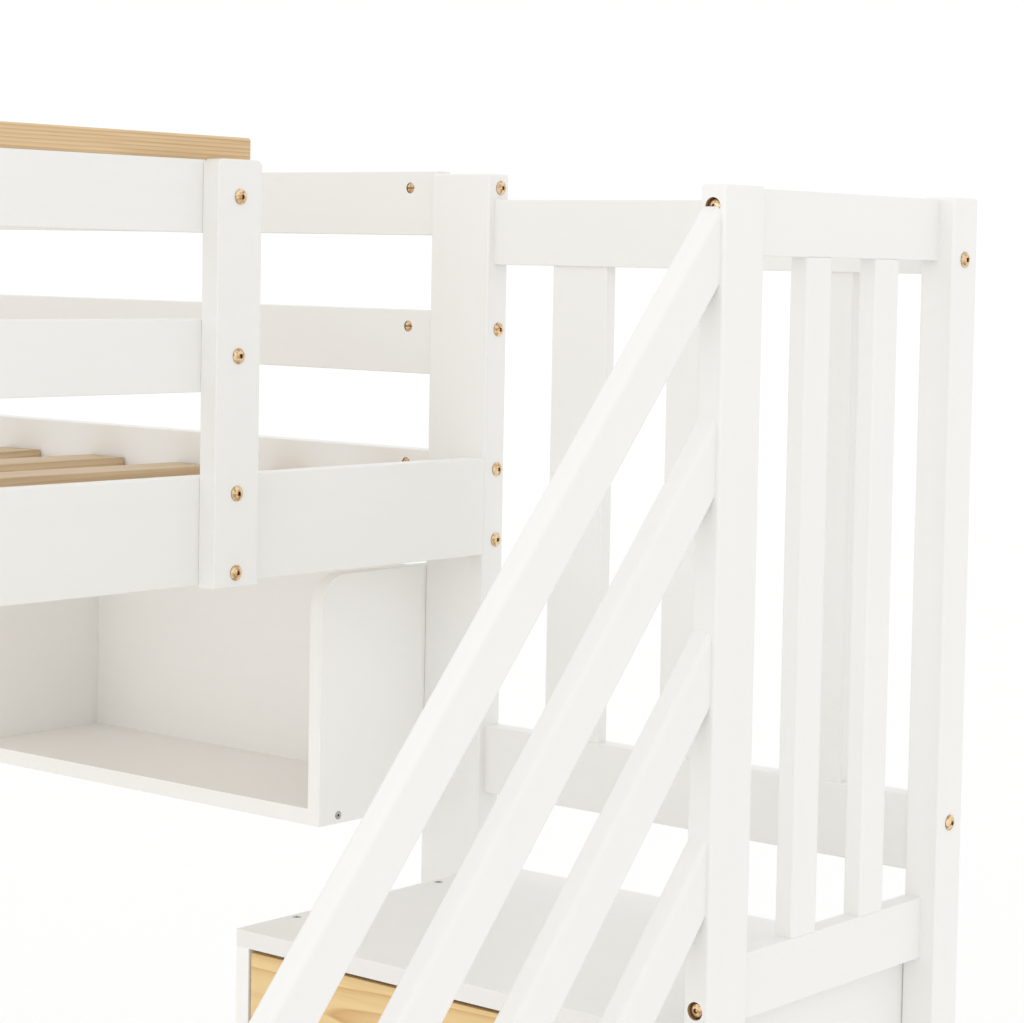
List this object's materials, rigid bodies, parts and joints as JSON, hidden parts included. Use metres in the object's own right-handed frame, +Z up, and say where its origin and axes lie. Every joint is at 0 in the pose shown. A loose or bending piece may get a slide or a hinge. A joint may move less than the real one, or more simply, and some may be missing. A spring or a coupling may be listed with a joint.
{
  "type": "loft bed",
  "caption": "Single loft bed on four posts, with guard boards, a slatted base, a hanging shelf and a storage staircase with drawers and a slanted side rail.",
  "frame": {"origin": "centre of the overall box's underside, on the floor", "axes": "+X from the open front, where the stairs start, to the wall side; +Y from the foot end with the stairs to the head end; +Z up"},
  "size_m": [1.097, 2.6244, 1.8085],
  "materials": {
    "white_painted_wood": "satin white paint on pine",
    "natural_pine": "clear lacquer, fine straight grain",
    "pale_slat_wood": "bare planed softwood",
    "drawer_plywood": "bare plywood",
    "yellow_zinc_steel": "yellow zinc plating",
    "grey_zinc_steel": "bright zinc plating"
  },
  "bodies": {
    "bed_frame": {"barrel_nuts": "yellow_zinc_steel", "bed_bolts": "yellow_zinc_steel", "drawer_runners": "drawer_plywood", "foot_end_rail": "white_painted_wood", "foot_guard_cap": "natural_pine", "foot_guard_lower": "white_painted_wood", "foot_guard_upper": "white_painted_wood", "foot_guard_upright": "white_painted_wood", "front_guard_lower": "white_painted_wood", "front_guard_upper": "white_painted_wood", "front_side_rail": "white_painted_wood", "head_end_rail": "white_painted_wood", "head_guard_cap": "natural_pine", "head_guard_lower": "white_painted_wood", "head_guard_upper": "white_painted_wood", "head_lower_rail": "white_painted_wood", "landing_back_rail_low": "white_painted_wood", "landing_back_rail_top": "white_painted_wood", "landing_back_slats": "white_painted_wood", "landing_board": "white_painted_wood", "landing_corner_post": "white_painted_wood", "landing_newel_post": "white_painted_wood", "landing_side_balusters": "white_painted_wood", "landing_side_rail_low": "white_painted_wood", "landing_side_rail_top": "white_painted_wood", "long_guard_uprights": "white_painted_wood", "mattress_slats": "pale_slat_wood", "post_foot_front": "white_painted_wood", "post_foot_wall": "white_painted_wood", "post_head_front": "white_painted_wood", "post_head_wall": "white_painted_wood", "screws": "grey_zinc_steel", "shelf_back": "white_painted_wood", "shelf_bottom": "white_painted_wood", "shelf_end_panels": "white_painted_wood", "shelf_partitions": "white_painted_wood", "slat_ledges": "pale_slat_wood", "stair_back_panel": "white_painted_wood", "stair_foot_newel": "white_painted_wood", "stair_handrail_bars": "white_painted_wood", "stair_side_bed": "white_painted_wood", "stair_side_near": "white_painted_wood", "stair_treads": "white_painted_wood", "wall_guard_lower": "white_painted_wood", "wall_guard_upper": "white_painted_wood", "wall_lower_rail": "white_painted_wood", "wall_side_rail": "white_painted_wood", "wood_dowels": "pale_slat_wood"},
    "drawer_1": {"drawer_1_front": "natural_pine", "drawer_1_box": "drawer_plywood", "drawer_1_knob": "natural_pine"},
    "drawer_2": {"drawer_2_front": "natural_pine", "drawer_2_box": "drawer_plywood", "drawer_2_knob": "natural_pine"},
    "drawer_3": {"drawer_3_front": "natural_pine", "drawer_3_box": "drawer_plywood", "drawer_3_knob": "natural_pine"},
    "drawer_4": {"drawer_4_front": "natural_pine", "drawer_4_box": "drawer_plywood", "drawer_4_knob": "natural_pine"}
  },
  "joints": [
    {"name": "drawer_1_slide", "type": "slide", "parent": "bed_frame", "child": "drawer_1", "axis": [-1, 0, 0], "range_m": [0, 0.28]},
    {"name": "drawer_2_slide", "type": "slide", "parent": "bed_frame", "child": "drawer_2", "axis": [-1, 0, 0], "range_m": [0, 0.28]},
    {"name": "drawer_3_slide", "type": "slide", "parent": "bed_frame", "child": "drawer_3", "axis": [-1, 0, 0], "range_m": [0, 0.28]},
    {"name": "drawer_4_slide", "type": "slide", "parent": "bed_frame", "child": "drawer_4", "axis": [-1, 0, 0], "range_m": [0, 0.28]}
  ]
}
